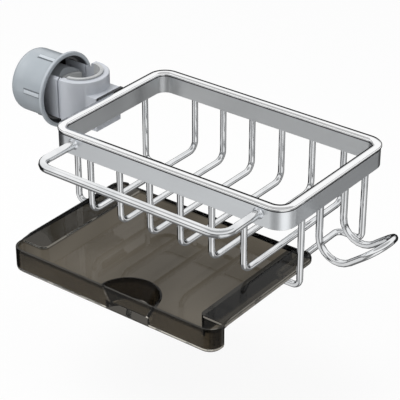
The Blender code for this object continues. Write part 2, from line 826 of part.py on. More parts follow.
def knob_profile():
    """The cup's section, up its outside from the closed end to the flared mouth, and down its inside."""
    mouth = -KNOB_MOUTH
    floor = KNOB_END + KNOB_END_WALL
    flange = mouth - KNOB_FLANGE_WIDTH
    thread = NECK_RADIUS + GAP
    step = mouth - KNOB_STEP
    wall = KNOB_FLANGE_RADIUS - KNOB_MOUTH_RADIUS
    profile = [(0, KNOB_END)]
    for i in range(ARC_STEPS + 1):
        angle = math.pi / 2 * i / ARC_STEPS
        radius = KNOB_RADIUS - KNOB_ROUND * (1 - math.sin(angle))
        profile.append((radius, KNOB_END + KNOB_ROUND * (1 - math.cos(angle))))
    profile += [
        (KNOB_RADIUS, flange - wall),
        (KNOB_RADIUS + (KNOB_FLANGE_RADIUS - KNOB_RADIUS) / 4, flange - wall / 3),
        (KNOB_FLANGE_RADIUS - wall / 5, flange + wall / 5),
        (KNOB_FLANGE_RADIUS, flange + wall / 2),
        (KNOB_FLANGE_RADIUS, mouth - wall / 4),
        (KNOB_FLANGE_RADIUS - wall / 4, mouth),
        (KNOB_MOUTH_RADIUS, mouth),
        (thread + (KNOB_MOUTH_RADIUS - thread) * KNOB_THROAT_SHARE, step),
        (thread, step),
        (thread, floor),
        (0, floor),
    ]
    return profile


def make_knob(look):
    """The hand nut: a cup with a flared mouth, a thread step inside and grip ribs round it."""
    knob = turned("clamp_knob", knob_profile(), on_knob_axis())
    finish(knob, look)
    near = -KNOB_MOUTH - RIB_FROM_MOUTH
    half = RIB_WIDTH / 2
    for i in range(RIB_COUNT):
        rib = box(
            f"knob_rib_{i + 1}",
            (near - RIB_LENGTH, -half, KNOB_RADIUS - RIB_HEIGHT * 2),
            (near, half, KNOB_RADIUS + RIB_HEIGHT),
        )
        turn = Matrix.Rotation(RIB_FIRST_ANGLE + 2 * math.pi * i / RIB_COUNT, 4, "X")
        rib.matrix_world = Matrix.Translation(knob_place()) @ turn
        ease(rib, RIB_HEIGHT / 2)
        combine(knob, rib, "UNION")
    hole = rod(
        "knob_hole",
        knob_place(KNOB_END - OVERRUN),
        knob_place(KNOB_END + KNOB_END_WALL + OVERRUN),
        PAD_SCREW_SHANK / 2 + GAP,
    )
    combine(knob, hole, "DIFFERENCE")
    recess = rod(
        "knob_recess",
        knob_place(KNOB_END - OVERRUN),
        knob_place(KNOB_END + PAD_SCREW_HEAD_HEIGHT),
        PAD_SCREW_HEAD / 2 + GAP * 2,
        SCREW_STEPS * 2,
    )
    combine(knob, recess, "DIFFERENCE")
    move_origin(knob, knob_place(-KNOB_MOUTH))


def make_pressure_pad(look):
    """The block in the neck's slot that the knob drives towards the bore."""
    face = -BORE
    back = face - PAD_BLOCK_LENGTH
    stem_back = KNOB_END + KNOB_END_WALL + GAP
    profile = [
        (0, back),
        (PAD_RADIUS - CLAMP_EDGE, back),
        (PAD_RADIUS, back + CLAMP_EDGE),
        (PAD_RADIUS, face + CLAMP_LEFT_CUT / 2),
        (0, face + CLAMP_LEFT_CUT / 2),
    ]
    pad = turned("pressure_pad", profile, on_knob_axis())
    finish(pad, look)
    half = SLOT_HALF - GAP
    low = -KNOB_AXIS_DROP - PAD_RADIUS - OVERRUN
    high = -KNOB_AXIS_DROP + PAD_RADIUS + OVERRUN
    combine(pad, box("pad_sides", (back - OVERRUN, -half, low), (0, half, high)), "INTERSECT")
    stem_end = back + PAD_STEM_RADIUS / 2
    stem = rod("pad_stem", knob_place(stem_back), knob_place(stem_end), PAD_STEM_RADIUS, SCREW_STEPS * 2)
    combine(pad, stem, "UNION")
    seat = rod("pad_seat", (0, 0, low), (0, 0, high), BORE + FACING_THICKNESS + GAP, ROUND_STEPS)
    combine(pad, seat, "DIFFERENCE")
    drilled = rod(
        "pad_hole",
        knob_place(stem_back - OVERRUN),
        knob_place(stem_back + PAD_SCREW_DEPTH),
        PAD_SCREW_SHANK / 2 + GAP,
    )
    combine(pad, drilled, "DIFFERENCE")
    move_origin(pad, knob_place(face))


def make_pad_facing(look):
    """The soft strip on the pressing block's hollow face."""
    outer = BORE + FACING_THICKNESS
    low = -KNOB_AXIS_DROP - FACING_HEIGHT / 2
    high = -KNOB_AXIS_DROP + FACING_HEIGHT / 2
    facing = turned("pad_facing", [(BORE, low), (outer, low), (outer, high), (BORE, high)])
    finish(facing, look)
    half = FACING_WIDTH / 2
    reach = outer + OVERRUN
    keep = box("facing_strip", (-reach, -half, low - OVERRUN), (0, half, high + OVERRUN))
    combine(facing, keep, "INTERSECT")
    move_origin(facing, knob_place(-BORE))


def make_pad_screw(look):
    """The screw that keeps the pressing block on the knob's end and lets the knob turn."""
    radius = PAD_SCREW_SHANK / 2
    head = PAD_SCREW_HEAD / 2
    seat = PAD_SCREW_HEAD_HEIGHT - GAP
    tip = KNOB_END_WALL + PAD_SCREW_DEPTH - GAP * 2
    profile = [
        (0, GAP),
        (head - GAP * 2, GAP),
        (head, GAP * 3),
        (head, seat),
        (radius, seat),
        (radius, tip - radius),
        (0, tip),
    ]
    screw = turned("pad_screw", profile, on_knob_axis(KNOB_END), steps=SCREW_STEPS)
    finish(screw, look)
    move_origin(screw, knob_place(KNOB_END))


def build():
    make_rim(material("satin_aluminium", BAND_COLOUR, 1.0, 0.35))
    make_cross_wires(material("wire_steel", METAL_COLOUR, 1.0, 0.18))
    make_rails(material("rail_steel", METAL_COLOUR, 1.0, 0.18))
    make_towel_bar(material("bar_steel", METAL_COLOUR, 1.0, 0.16))
    make_side_hook(material("hook_steel", METAL_COLOUR, 1.0, 0.18))
    make_tray(material("smoked_plastic", SMOKE_COLOUR, 0.0, 0.06, 0.55))
    make_clamp_body(material("clamp_plastic", PLASTIC_COLOUR, 0.0, 0.4))
    make_liner(material("soft_liner", RUBBER_COLOUR, 0.0, 0.55))
    make_bracket_plate(material("plate_steel", PLATE_COLOUR, 0.9, 0.4))
    make_bracket_screws(material("screw_steel", METAL_COLOUR, 1.0, 0.3))
    make_knob(material("knob_plastic", KNOB_COLOUR, 0.0, 0.4))
    make_pressure_pad(material("pad_plastic", PLASTIC_COLOUR, 0.0, 0.5))
    make_pad_facing(material("facing_rubber", RUBBER_COLOUR, 0.0, 0.6))
    make_pad_screw(material("pad_screw_steel", METAL_COLOUR, 1.0, 0.3))


build()
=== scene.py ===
import math

import bmesh
import bpy
from mathutils import Matrix, Vector, noise


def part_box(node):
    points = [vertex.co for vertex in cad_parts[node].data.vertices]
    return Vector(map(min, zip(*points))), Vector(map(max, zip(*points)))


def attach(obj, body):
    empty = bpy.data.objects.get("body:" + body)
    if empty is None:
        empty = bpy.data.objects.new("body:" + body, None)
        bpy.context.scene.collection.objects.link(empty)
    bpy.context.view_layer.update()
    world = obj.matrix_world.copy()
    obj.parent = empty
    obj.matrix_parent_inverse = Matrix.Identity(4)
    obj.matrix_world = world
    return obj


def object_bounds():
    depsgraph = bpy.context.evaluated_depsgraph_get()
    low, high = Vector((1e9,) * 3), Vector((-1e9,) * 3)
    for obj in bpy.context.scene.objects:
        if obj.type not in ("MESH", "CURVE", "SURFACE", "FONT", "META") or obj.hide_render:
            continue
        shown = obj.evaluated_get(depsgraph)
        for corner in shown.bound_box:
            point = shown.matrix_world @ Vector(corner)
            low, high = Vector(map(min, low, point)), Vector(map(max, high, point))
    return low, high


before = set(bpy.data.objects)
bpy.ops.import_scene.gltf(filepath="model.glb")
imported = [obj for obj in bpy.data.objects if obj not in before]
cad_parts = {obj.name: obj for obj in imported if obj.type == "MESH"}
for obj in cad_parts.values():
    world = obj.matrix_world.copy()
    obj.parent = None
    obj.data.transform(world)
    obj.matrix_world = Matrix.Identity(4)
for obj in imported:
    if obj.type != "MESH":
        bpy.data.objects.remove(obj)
cad_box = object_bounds()

# The rim is one extruded aluminium band, bent to a rounded rectangle and closed behind.
# Its sides are brushed along the band, and the lip on top is polished after the bending.
# Its inner face is painted darker as shade, a shadow is painted under the lip, and a highlight along the
# lower edge.


class Value:
    """One output of a finish's nodes. An operator on it adds a Math node."""

    def __init__(self, finish, socket):
        self.finish = finish
        self.socket = socket

    def math(self, operation, first, second=0.0):
        return self.finish.add("Math", {"operation": operation}, {0: first, 1: second})

    def __add__(self, other):
        return self.math("ADD", self, other)

    def __radd__(self, other):
        return self.math("ADD", other, self)

    def __sub__(self, other):
        return self.math("SUBTRACT", self, other)

    def __rsub__(self, other):
        return self.math("SUBTRACT", other, self)

    def __mul__(self, other):
        return self.math("MULTIPLY", self, other)

    def __rmul__(self, other):
        return self.math("MULTIPLY", other, self)

    def __pow__(self, other):
        return self.math("POWER", self, other)

    def __abs__(self):
        return self.math("ABSOLUTE", self)

    def __or__(self, other):
        """The larger of the two."""
        return self.math("MAXIMUM", self, other)

    def rise(self, low, high):
        """0 below low and 1 above high, with a smooth step between."""
        smooth = {"interpolation_type": "SMOOTHSTEP"}
        return self.finish.add("MapRange", smooth, {"Value": self, "From Min": low, "From Max": high})

    def above(self, level, soft):
        """0 below a level and 1 above it, with a smooth step that reaches soft to both sides."""
        return self.rise(level - soft, level + soft)

    def band(self, low, high, soft):
        """1 between two levels and 0 outside, with the same smooth step at both."""
        return self.above(low, soft) * (1 - self.above(high, soft))


class Finish:
    """A material's nodes, or the world's. Constants stand on the Principled shader's own sockets."""

    # A Mix node has sockets for every kind of data. These are the mask's and the colours'.
    MIX_MASK, MIX_PLAIN, MIX_OTHER, MIX_RESULT = 0, 6, 7, 2

    def __init__(self, name, kind="materials", **constants):
        self.owner = getattr(bpy.data, kind).new(name)
        self.owner.use_nodes = True
        self.tree = self.owner.node_tree
        self.shader = self.tree.nodes.get("Principled BSDF")
        for socket, value in constants.items():
            self.shader.inputs[socket.replace("_", " ")].default_value = value

    def add(self, kind, settings=None, inputs=None, output=0):
        """Makes any other node: its settings first, then the values or links of its sockets."""
        node = self.tree.nodes.new("ShaderNode" + kind)
        for name, value in (settings or {}).items():
            setattr(node, name, value)
        for name, value in (inputs or {}).items():
            self.feed(node.inputs[name], value)
        return Value(self, node.outputs[output])

    def feed(self, socket, value):
        """Links a Value to a socket, or sets the socket. A colour may come without its alpha."""
        if isinstance(value, Value):
            self.tree.links.new(value.socket, socket)
        elif isinstance(value, tuple) and len(value) < len(socket.default_value):
            socket.default_value = (*value, 1.0)
        else:
            socket.default_value = value

    def set(self, socket, value):
        """Feeds one of the Principled shader's sockets."""
        self.feed(self.shader.inputs[socket], value)

    def show(self, surface):
        """Puts this surface on the output in place of the plain shader."""
        self.feed(self.tree.get_output_node("ALL").inputs["Surface"], surface)

    def blend(self, mask, plain, other):
        """The first colour where the mask is 0 and the other where it is 1."""
        inputs = {self.MIX_MASK: mask, self.MIX_PLAIN: plain, self.MIX_OTHER: other}
        return self.add("Mix", {"data_type": "RGBA"}, inputs, self.MIX_RESULT)

    def places(self, stretch=(1.0, 1.0, 1.0)):
        """Where a point of the piece is, in metres, with each axis stretched."""
        here = self.add("TexCoord", output="Object")
        return self.add("VectorMath", {"operation": "MULTIPLY"}, {0: here, 1: stretch})

    def grain(self, scale, stretch=(1.0, 1.0, 1.0), detail=2.0, roughness=0.5):
        """Noise about 0.5 whose cells are 1 / scale metres across."""
        inputs = {"Vector": self.places(stretch), "Scale": scale, "Detail": detail, "Roughness": roughness}
        return self.add("TexNoise", {}, inputs)

    def axis(self, name, output="Object"):
        """One coordinate of the point, or of its normal."""
        here = self.add("TexCoord", output=output)
        return self.add("SeparateXYZ", {}, {0: here}, name)

    def bump(self, height):
        """Turns a height in metres into relief."""
        self.set("Normal", self.add("Bump", {}, {"Distance": 1.0, "Height": height}))


JOIN_WITHIN = 0.000005
FLAT_WITHIN = math.radians(0.4)
CRISP_OVER = 50
EASE_SEGMENTS = 2


def dress(finish, *names, sharp=CRISP_OVER, ease=0.0):
    """Gives CAD nodes a finish, with their triangles joined to whole faces.

    Edges over sharp degrees are kept crisp, or are rounded by ease, in metres.
    """
    for name in names:
        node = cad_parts[name]
        mesh = node.data
        mesh.materials.clear()
        mesh.materials.append(finish.owner)
        own_normals = mesh.attributes.get("custom_normal")
        if own_normals:
            mesh.attributes.remove(own_normals)
        mesh.shade_smooth()
        node.modifiers.new("join", "WELD").merge_threshold = JOIN_WITHIN
        faces = node.modifiers.new("whole_faces", "DECIMATE")
        faces.decimate_type = "DISSOLVE"
        faces.angle_limit = FLAT_WITHIN
        if ease:
            rounding = node.modifiers.new("eased_edges", "BEVEL")
            rounding.width = ease
            rounding.segments = EASE_SEGMENTS
            rounding.angle_limit = math.radians(sharp)
            rounding.use_clamp_overlap = False
        else:
            node.modifiers.new("crisp_edges", "EDGE_SPLIT").split_angle = math.radians(sharp)
        node.modifiers.new("flat_faces", "WEIGHTED_NORMAL")


BAND_GREY = (0.875, 0.91, 0.935)
BAND_LIGHT = (0.95, 0.975, 1.0)
BAND_INNER_SHADE = (0.62, 0.635, 0.645)
LIP_AND_HIGHLIGHT_BRIGHT = (0.95, 0.955, 0.96)
LIP_SHADOW_DARK = (0.05, 0.05, 0.053)
BAND_CORNER = 0.0140
BAND_WIDTH = 0.0070
BAND_CRISP_OVER = 60
INNER_FACE_SHARES = (0.15, 0.3)
LIP_HEIGHT = 0.0021
LIP_EDGE = 0.0004
LIP_CROWN = 0.0012
LIP_SHADOW_HEIGHT = 0.0009
EDGE_HIGHLIGHT_HEIGHTS = (0.0002, 0.0006)
LINE_SOFT = 0.0001
CORNER_SOFT = 0.00001
STREAK_SCALE = 900.0
STREAK_STRETCH = (0.02, 0.02, 1.0)
STREAK_SHARE = 0.55
STREAK_RELIEF = 0.00001
CLOUD_SCALE = 35.0
LIP_LINE_SCALE = 420.0
LIP_LINE_STRETCH = (1.0, 1.0, 0.1)
SATIN_ROUGHNESS = 0.25
STREAK_ROUGHNESS = 0.12
CLOUD_ROUGHNESS = 0.05
LIP_ROUGHNESS = 0.06
LIP_LINE_ROUGHNESS = 0.05

band_low, band_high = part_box("rim_band")
band_middle = (band_low + band_high) / 2
half_length = (band_high.x - band_low.x) / 2
half_depth = (band_high.y - band_low.y) / 2
lip_bottom = band_high.z - LIP_HEIGHT

band = Finish("satin_band", Metallic=1.0, Anisotropic=0.3)

# How far a point lies inwards from the band's outer side, as a share of the band's width.
from_middle_x = abs(band.axis("X") - band_middle.x)
from_middle_y = abs(band.axis("Y") - band_middle.y)
past_x = (from_middle_x - (half_length - BAND_CORNER)) | 0.0
past_y = (from_middle_y - (half_depth - BAND_CORNER)) | 0.0
straight = (from_middle_x - half_length) | (from_middle_y - half_depth)
round_corner = (past_x * past_x + past_y * past_y) ** 0.5 - BAND_CORNER
is_corner = past_x.rise(0.0, CORNER_SOFT) * past_y.rise(0.0, CORNER_SOFT)
inwards = (is_corner * round_corner + (1 - is_corner) * straight) * (-1 / BAND_WIDTH)

# The lip's crown is 1 along the middle of the band and 0 at its sides.
crown = inwards * (1 - inwards) * 4
streaks = band.grain(STREAK_SCALE, STREAK_STRETCH, detail=3.0, roughness=0.6)
cloud = band.grain(CLOUD_SCALE, detail=3.0)
lip_lines = band.grain(LIP_LINE_SCALE, LIP_LINE_STRETCH)
band_z = band.axis("Z")
lip = band_z.above(lip_bottom, LINE_SOFT)
lip_top = band_z.rise(band_high.z - LIP_EDGE, band_high.z - LINE_SOFT)
# A thin band of painted shadow just under the lip.
lip_shadow = band_z.band(lip_bottom - LIP_SHADOW_HEIGHT, lip_bottom - LINE_SOFT, LINE_SOFT)
# A painted highlight along the band's lower edge.
edge_highlight = 1 - band_z.rise(*[band_low.z + highlight_height for highlight_height in EDGE_HIGHLIGHT_HEIGHTS])

outer_colour = band.blend(streaks * STREAK_SHARE + cloud * (1 - STREAK_SHARE), BAND_GREY, BAND_LIGHT)
# The band's inner face is painted darker, as shade.
band_colour = band.blend(inwards.rise(*INNER_FACE_SHARES), outer_colour, BAND_INNER_SHADE)
lip_and_edge_highlight = band.blend(lip | edge_highlight, band_colour, LIP_AND_HIGHLIGHT_BRIGHT)
satin = SATIN_ROUGHNESS + streaks * STREAK_ROUGHNESS + cloud * CLOUD_ROUGHNESS
polish = LIP_ROUGHNESS + lip_lines * LIP_LINE_ROUGHNESS
band.set("Base Color", band.blend(lip_shadow, lip_and_edge_highlight, LIP_SHADOW_DARK))
band.set("Roughness", satin * (1 - lip) + lip * polish)
band.bump(streaks * (1 - lip) * STREAK_RELIEF + lip_top * crown * LIP_CROWN)
dress(band, "rim_band", sharp=BAND_CRISP_OVER)

# The basket's floor wires and the two rails are drawn steel wire, bent cold and let into
# the band's underside. They are polished, with faint fine marks and a slow haze.

WIRE_BRIGHT = (0.86, 0.87, 0.88)
WIRE_DULL = (0.70, 0.715, 0.73)
CROSS_WIRES = 6
WIRE_MARK_SCALE = 700.0
MARK_RELIEF = 0.000006
MARK_ROUGHNESS = 0.04
HAZE_SCALE = 60.0
HAZE_RISE = (0.35, 0.75)
HAZE_ROUGHNESS = 0.03
POLISH_ROUGHNESS = 0.05


def polished(name, mark_scale):
    """Polished steel, with marks of 1 / mark_scale metres."""
    steel = Finish(name, Metallic=1.0)
    marks = steel.grain(mark_scale, detail=4.0, roughness=0.65)
    haze = steel.grain(HAZE_SCALE)
    steel.set("Base Color", steel.blend(haze.rise(*HAZE_RISE), WIRE_BRIGHT, WIRE_DULL))
    steel.set("Roughness", POLISH_ROUGHNESS + marks * MARK_ROUGHNESS + haze * HAZE_ROUGHNESS)
    steel.bump(marks * MARK_RELIEF)
    return steel


wires = polished("polished_wire", WIRE_MARK_SCALE)
cross_wires = [f"cross_wire_{number}" for number in range(1, CROSS_WIRES + 1)]
dress(wires, *cross_wires, "rail_wire_left", "rail_wire_right")

# The towel bar is thicker wire, bent at both corners and welded end-on to the band's face.
# Each weld is ground to a small bright fillet, a little uneven round the bar.

BAR_MARK_SCALE = 600.0
BAR_RADIUS = 0.0032
BAND_LIP = 0.0006
WELD_BRIGHT = (0.90, 0.92, 0.95)
WELD_DULL = (0.74, 0.77, 0.81)
WELD_ROUGHNESS = 0.22
WELD_RADIUS = 0.0042
WELD_LENGTH = 0.0021
WELD_SUNK = 0.00005
WELD_PROUD = 0.00004
WELD_FLARE_POWER = 2.2
WELD_BORE_SHARE = 0.94
WELD_STEPS = 48
RIPPLE_SCALE = 900.0
RIPPLE_RISE = (0.4, 0.7)
RIPPLE_RELIEF = 0.00006
RIPPLE_ROUGHNESS = 0.16

# The rows of a weld's points, outside and inside, as shares of its length from the band.
WELD_SHARES = (0.0, 0.12, 0.3, 0.55, 0.8, 1.0)
WELD_INNER_SHARES = (1.0, 0.0)

# Noise makes the welds uneven. It changes by these steps round a bar and from weld to weld,
# and moves the metal by these lengths outwards and along the bar.
WAVE_TURN = 1.7
WAVE_APART = 90
WAVE_OUT = 0.00007
WAVE_ALONG = 0.0004

bar = polished("polished_bar", BAR_MARK_SCALE)
dress(bar, "towel_bar")

weld = Finish("weld_metal", Metallic=1.0)
ripples = weld.grain(RIPPLE_SCALE, detail=3.0)
weld.set("Base Color", weld.blend(ripples.rise(*RIPPLE_RISE), WELD_BRIGHT, WELD_DULL))
weld.set("Roughness", WELD_ROUGHNESS + ripples * RIPPLE_ROUGHNESS)
weld.bump(ripples * RIPPLE_RELIEF)

bar_low, bar_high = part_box("towel_bar")
bar_height = (bar_low.z + bar_high.z) / 2
band_face = band_low.y + BAND_LIP


def weld_row(shape, x, share, is_inside):
    """Points round the bar at that share of the fillet's length, on its flare or on its inner wall."""
    row = []
    for step in range(WELD_STEPS):
        angle = math.tau * step / WELD_STEPS
        place = (math.cos(angle) * WAVE_TURN, math.sin(angle) * WAVE_TURN, x * WAVE_APART + share)
        wave = noise.noise(Vector(place))
        flare = (WELD_RADIUS - BAR_RADIUS) * (1 - share) ** WELD_FLARE_POWER
        radius = BAR_RADIUS + flare + WAVE_OUT * wave + WELD_PROUD
        if is_inside:
            radius = BAR_RADIUS * WELD_BORE_SHARE
        y = band_face + WELD_SUNK - share * (WELD_LENGTH + WAVE_ALONG * wave)
        z = bar_height + radius * math.sin(angle)
        row.append(shape.verts.new((x + radius * math.cos(angle), y, z)))
    return row


def weld_fillet(name, x):
    """A ring that flares from the bar to the band's face, closed by an inner wall inside the bar."""
    shape = bmesh.new()
    rows = [weld_row(shape, x, share, False) for share in WELD_SHARES]
    rows += [weld_row(shape, x, share, True) for share in WELD_INNER_SHARES]
    for low, high in zip(rows, rows[1:] + rows[:1]):
        for i in range(WELD_STEPS):
            j = (i + 1) % WELD_STEPS
            shape.faces.new((low[i], low[j], high[j], high[i]))
    bmesh.ops.recalc_face_normals(shape, faces=shape.faces)
    mesh = bpy.data.meshes.new(name)
    shape.to_mesh(mesh)
    shape.free()
    mesh.shade_smooth()
    mesh.materials.append(weld.owner)
    piece = bpy.data.objects.new(name, mesh)
    bpy.context.scene.collection.objects.link(piece)
    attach(piece, "rack")


for side, end in (("left", bar_low.x + BAR_RADIUS), ("right", bar_high.x - BAR_RADIUS)):
    weld_fillet(f"bar_weld_{side}", end)

# The side hook is one wire bent to a loop, of the same polished steel as the basket's
# wires. It hangs from the band's right-hand end and rises outwards.

HOOK_MARK_SCALE = 650.0

hook = polished("hook_wire", HOOK_MARK_SCALE)
dress(hook, "side_hook")

# The bracket plate is dark anodised metal, brushed, and held to the band's side by two
# plain turned screws that start inside the clamp's bore. The pressing block's screw is alike.

PLATE_DARK = (0.030, 0.031, 0.034)
PLATE_WORN = (0.085, 0.088, 0.093)
PLATE_LINE_SCALE = 1400.0
PLATE_LINE_STRETCH = (0.15, 0.02, 1.0)
PLATE_LINE_RELIEF = 0.000025
PLATE_LINE_ROUGHNESS = 0.2
PLATE_ROUGHNESS = 0.32
SCREW_GREY = (0.62, 0.63, 0.64)
SCREW_BRIGHT = (0.78, 0.79, 0.80)
SCREW_MARK_SCALE = 1600.0
SCREW_MARK_RELIEF = 0.000012
SCREW_MARK_ROUGHNESS = 0.14
SCREW_ROUGHNESS = 0.24

plate = Finish("dark_plate", Metallic=0.85)
plate_lines = plate.grain(PLATE_LINE_SCALE, PLATE_LINE_STRETCH, detail=3.0)
plate.set("Base Color", plate.blend(plate_lines, PLATE_DARK, PLATE_WORN))
plate.set("Roughness", PLATE_ROUGHNESS + plate_lines * PLATE_LINE_ROUGHNESS)
plate.bump(plate_lines * PLATE_LINE_RELIEF)
dress(plate, "bracket_plate")

screw = Finish("screw_metal", Metallic=1.0)
screw_marks = screw.grain(SCREW_MARK_SCALE)
screw.set("Base Color", screw.blend(screw_marks, SCREW_GREY, SCREW_BRIGHT))
screw.set("Roughness", SCREW_ROUGHNESS + screw_marks * SCREW_MARK_ROUGHNESS)
screw.bump(screw_marks * SCREW_MARK_RELIEF)
dress(screw, "bracket_screw_front", "bracket_screw_back", "pad_screw")

# The clamp's fixed jaw is moulded in blue-grey ABS with a fine spark skin and a light
# gloss over it. It is a little cloudy where the plastic flowed into the mould.

JAW_GREY = (0.475, 0.50, 0.545)
JAW_PALE = (0.55, 0.575, 0.62)
JAW_ROUGHNESS = 0.31
SKIN_SCALE = 2600.0
SKIN_RELIEF = 0.00003
SKIN_ROUGHNESS = 0.12
FLOW_SCALE = 45.0
FLOW_STRETCH = (1.0, 1.0, 0.4)
FLOW_RISE = (0.3, 0.75)
FLOW_ROUGHNESS = 0.06


def moulded(name):
    """ABS, with the grain of its fine skin and of the slow cloudiness that its flow leaves."""
    plastic = Finish(name, IOR=1.5, Coat_Weight=0.5, Coat_Roughness=0.12)
    skin = plastic.grain(SKIN_SCALE)
    flow = plastic.grain(FLOW_SCALE, FLOW_STRETCH, detail=3.0, roughness=0.55)
    plastic.bump(skin * SKIN_RELIEF)
    return plastic, skin, flow


jaw, jaw_skin, jaw_flow = moulded("jaw_plastic")
jaw.set("Base Color", jaw.blend(jaw_flow.rise(*FLOW_RISE), JAW_GREY, JAW_PALE))
jaw.set("Roughness", JAW_ROUGHNESS + jaw_skin * SKIN_ROUGHNESS + jaw_flow * FLOW_ROUGHNESS)
dress(jaw, "clamp_body")

# The soft sleeve in the bore and the strip on the pressing block are pale grey rubber,
# moulded to shape and pressed in. They are matt, with a dusty bloom.

RUBBER_GREY = (0.40, 0.41, 0.415)
RUBBER_PALE = (0.51, 0.52, 0.525)
RUBBER_ROUGHNESS = 0.46
DUST_SCALE = 1500.0
DUST_SHARE = 0.3
DUST_RELIEF = 0.00002
DUST_ROUGHNESS = 0.2
BLOOM_SCALE = 90.0
BLOOM_RISE = (0.3, 0.7)

rubber = Finish("soft_liner", IOR=1.5)
dust = rubber.grain(DUST_SCALE, detail=4.0, roughness=0.7)
bloom = rubber.grain(BLOOM_SCALE, detail=3.0)
dusty = bloom.rise(*BLOOM_RISE) * (1 - DUST_SHARE) + dust * DUST_SHARE
rubber.set("Base Color", rubber.blend(dusty, RUBBER_GREY, RUBBER_PALE))
rubber.set("Roughness", RUBBER_ROUGHNESS + dust * DUST_ROUGHNESS)
rubber.bump(dust * DUST_RELIEF)
dress(rubber, "bore_liner", "pad_facing")

# The knob is a cup-shaped hand nut moulded in a slightly deeper blue-grey than the jaw,
# with raised grip ribs round it. Its ribs and flange rim are painted paler as highlights,
# with a painted shade line round each rib, and its inside is painted dark as shade.

KNOB_GREY = (0.350, 0.387, 0.420)
KNOB_PALE = (0.405, 0.442, 0.475)
KNOB_HIGHLIGHT = (0.53, 0.57, 0.61)
KNOB_SHADE = (0.13, 0.145, 0.16)
KNOB_INSIDE_SHADE = (0.045, 0.047, 0.050)
KNOB_ROUGHNESS = 0.30
KNOB_END_WALL = 0.0036
KNOB_END_SOFT = 0.0003
KNOB_WALL_MIDDLE = 0.0232
KNOB_WALL_SOFT = 0.0002
MOUTH_DEPTH = 0.0049
MOUTH_DEPTH_SOFT = 0.0008
MOUTH_RADII = (0.0256, 0.0261)
INSIDE_ROUGHNESS = 0.2
RIBS = 5
RIB_FIRST = math.radians(13.3)
RIB_HALF = 0.0016
RIB_TOP = 0.0250
RIB_FROM_MOUTH = 0.0062
RIB_LENGTH = 0.0154
RIB_EASE = 0.0003
RIB_END_EASE = 0.0002
RIB_LINE_WIDTH = 0.0006
RIB_LINE_SOFT = 0.0004
RIB_LINE_SHADE = 0.9
FLANGE_HIGHLIGHT_RADII = (0.0272, 0.0284)
FLANGE_HIGHLIGHT_SHARE = 0.35
FLANGE_SKIN_SHARE = 0.3

knob_low, knob_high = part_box("clamp_knob")
knob_floor = knob_low.x + KNOB_END_WALL
mouth_floor = knob_high.x - MOUTH_DEPTH
rib_near = knob_high.x - RIB_FROM_MOUTH
rib_far = rib_near - RIB_LENGTH

knob, knob_skin, knob_flow = moulded("knob_plastic")
knob_x = knob.axis("X")
knob_y = knob.axis("Y")
knob_z = knob.axis("Z") - (knob_low.z + knob_high.z) / 2
from_axis = (knob_y * knob_y + knob_z * knob_z) ** 0.5
# The cup's and the mouth's insides, which are painted dark as shade.
within_wall = 1 - from_axis.above(KNOB_WALL_MIDDLE, KNOB_WALL_SOFT)
within_flare = 1 - from_axis.rise(*MOUTH_RADII)
in_cup = within_wall * knob_x.rise(knob_floor - KNOB_END_SOFT, knob_floor)
in_mouth = within_flare * knob_x.rise(mouth_floor - MOUTH_DEPTH_SOFT, mouth_floor)
inside = in_cup | in_mouth

# How far a point lies from the middle of the nearest rib, measured round the knob.
rib_turn = (knob_z.math("ARCTAN2", knob_y, knob_z) + RIB_FIRST) * (RIBS / math.tau)
from_rib = abs(rib_turn - rib_turn.math("ROUND", rib_turn)) * (math.tau / RIBS * RIB_TOP)
# A painted shade line round the foot of each rib.
line_start = RIB_HALF + RIB_LINE_WIDTH
line_length = knob_x.band(rib_far - RIB_LINE_WIDTH, rib_near + RIB_LINE_WIDTH, LINE_SOFT)
rib_length = knob_x.band(rib_far + RIB_END_EASE, rib_near - RIB_END_EASE, LINE_SOFT)
rib_shade_line = (1 - from_rib.rise(line_start, line_start + RIB_LINE_SOFT)) * line_length
# The rib tops are painted paler, as highlight.
rib_highlight = (1 - from_rib.rise(RIB_HALF - RIB_EASE, RIB_HALF)) * rib_length
# The flange's rim is painted paler as highlight, varied by the skin's grain.
flange_highlight = from_axis.rise(*FLANGE_HIGHLIGHT_RADII) * (FLANGE_HIGHLIGHT_SHARE + knob_skin * FLANGE_SKIN_SHARE)

knob_colour = knob.blend(knob_flow.rise(*FLOW_RISE), KNOB_GREY, KNOB_PALE)
rib_shaded = knob.blend(rib_shade_line * RIB_LINE_SHADE, knob_colour, KNOB_SHADE)
ribbed = knob.blend(rib_highlight, rib_shaded, KNOB_HIGHLIGHT)
outside_colour = knob.blend(flange_highlight, ribbed, KNOB_HIGHLIGHT)
knob.set("Base Color", knob.blend(inside, outside_colour, KNOB_INSIDE_SHADE))
knob.set("Roughness", KNOB_ROUGHNESS + knob_skin * SKIN_ROUGHNESS + inside * INSIDE_ROUGHNESS)
dress(knob, "clamp_knob")

# The pressing block slides in the jaw's slot. It is moulded in the same ABS, a shade
# darker, and its stem is held in the knob's end by a screw.

BLOCK_GREY = (0.27, 0.29, 0.315)
BLOCK_PALE = (0.33, 0.35, 0.375)
BLOCK_ROUGHNESS = 0.36

block, block_skin, block_flow = moulded("block_plastic")
block.set("Base Color", block.blend(block_flow.rise(*FLOW_RISE), BLOCK_GREY, BLOCK_PALE))
block.set("Roughness", BLOCK_ROUGHNESS + block_skin * SKIN_ROUGHNESS)
dress(block, "pressure_pad")

# The drip tray is one moulding in smoke-brown clear plastic, glossy inside and out, with
# faint flow marks. It hangs by its wings from the rails and pulls out to the front. Its
# front wall is clearer but painted near-black as shade under the thumb well, and its wings are painted
# darker as shade.

